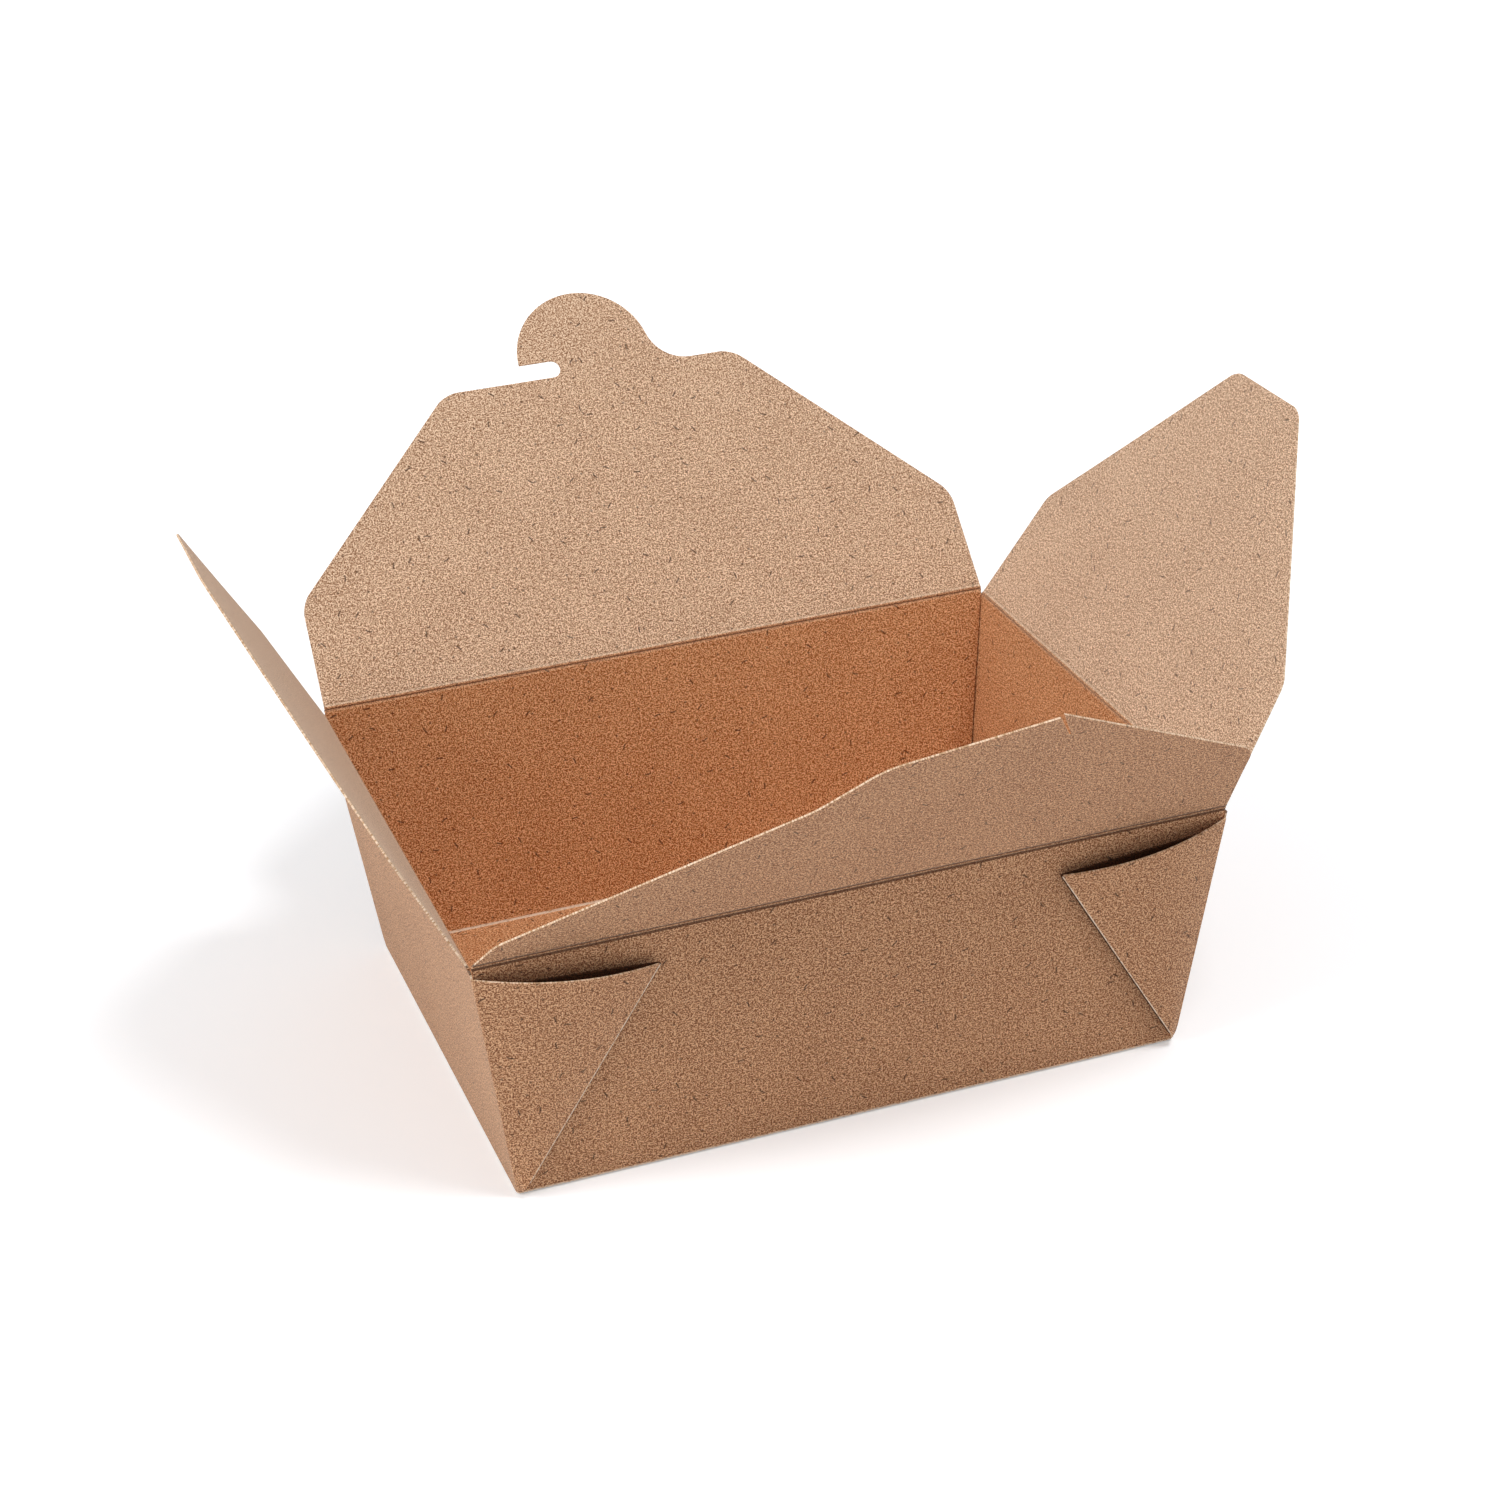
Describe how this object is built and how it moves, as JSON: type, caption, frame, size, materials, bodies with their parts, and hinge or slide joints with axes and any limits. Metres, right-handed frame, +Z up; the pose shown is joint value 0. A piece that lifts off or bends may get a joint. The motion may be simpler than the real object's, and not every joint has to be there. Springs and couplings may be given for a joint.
{
  "type": "takeaway box",
  "caption": "Open folding carton of kraft board with sloping walls, folded corner webs on its long sides and a flap hinged on each top edge, one with a round hook tab.",
  "frame": {"origin": "middle of the bottom face, which rests on the table", "axes": "+Z up, +X along the long front wall to the right, +Y from the front wall to the back wall, which carries the flap with the hook tab"},
  "size_m": [0.2525, 0.2247, 0.1354],
  "materials": {
    "kraft_board": "matt uncoated brown kraft board with a fine fibre grain"
  },
  "bodies": {
    "tray": {"tray": "kraft_board"},
    "back_flap": {"back_flap": "kraft_board"},
    "front_flap": {"front_flap": "kraft_board"},
    "left_end_flap": {"left_end_flap": "kraft_board"},
    "right_end_flap": {"right_end_flap": "kraft_board"}
  },
  "joints": [
    {"name": "back_flap_fold", "type": "hinge", "parent": "tray", "child": "back_flap", "pos_m": [0, 0.06578, 0.063], "axis": [-1, 0, 0], "range_deg": [-131, 49]},
    {"name": "front_flap_fold", "type": "hinge", "parent": "tray", "child": "front_flap", "pos_m": [0, -0.06569, 0.0623], "axis": [1, 0, 0], "range_deg": [-123, 57]},
    {"name": "left_end_flap_fold", "type": "hinge", "parent": "tray", "child": "left_end_flap", "pos_m": [-0.0856, 0, 0.0616], "axis": [0, -1, 0], "range_deg": [-117, 63]},
    {"name": "right_end_flap_fold", "type": "hinge", "parent": "tray", "child": "right_end_flap", "pos_m": [0.0856, 0, 0.0616], "axis": [0, 1, 0], "range_deg": [-123, 57]}
  ]
}
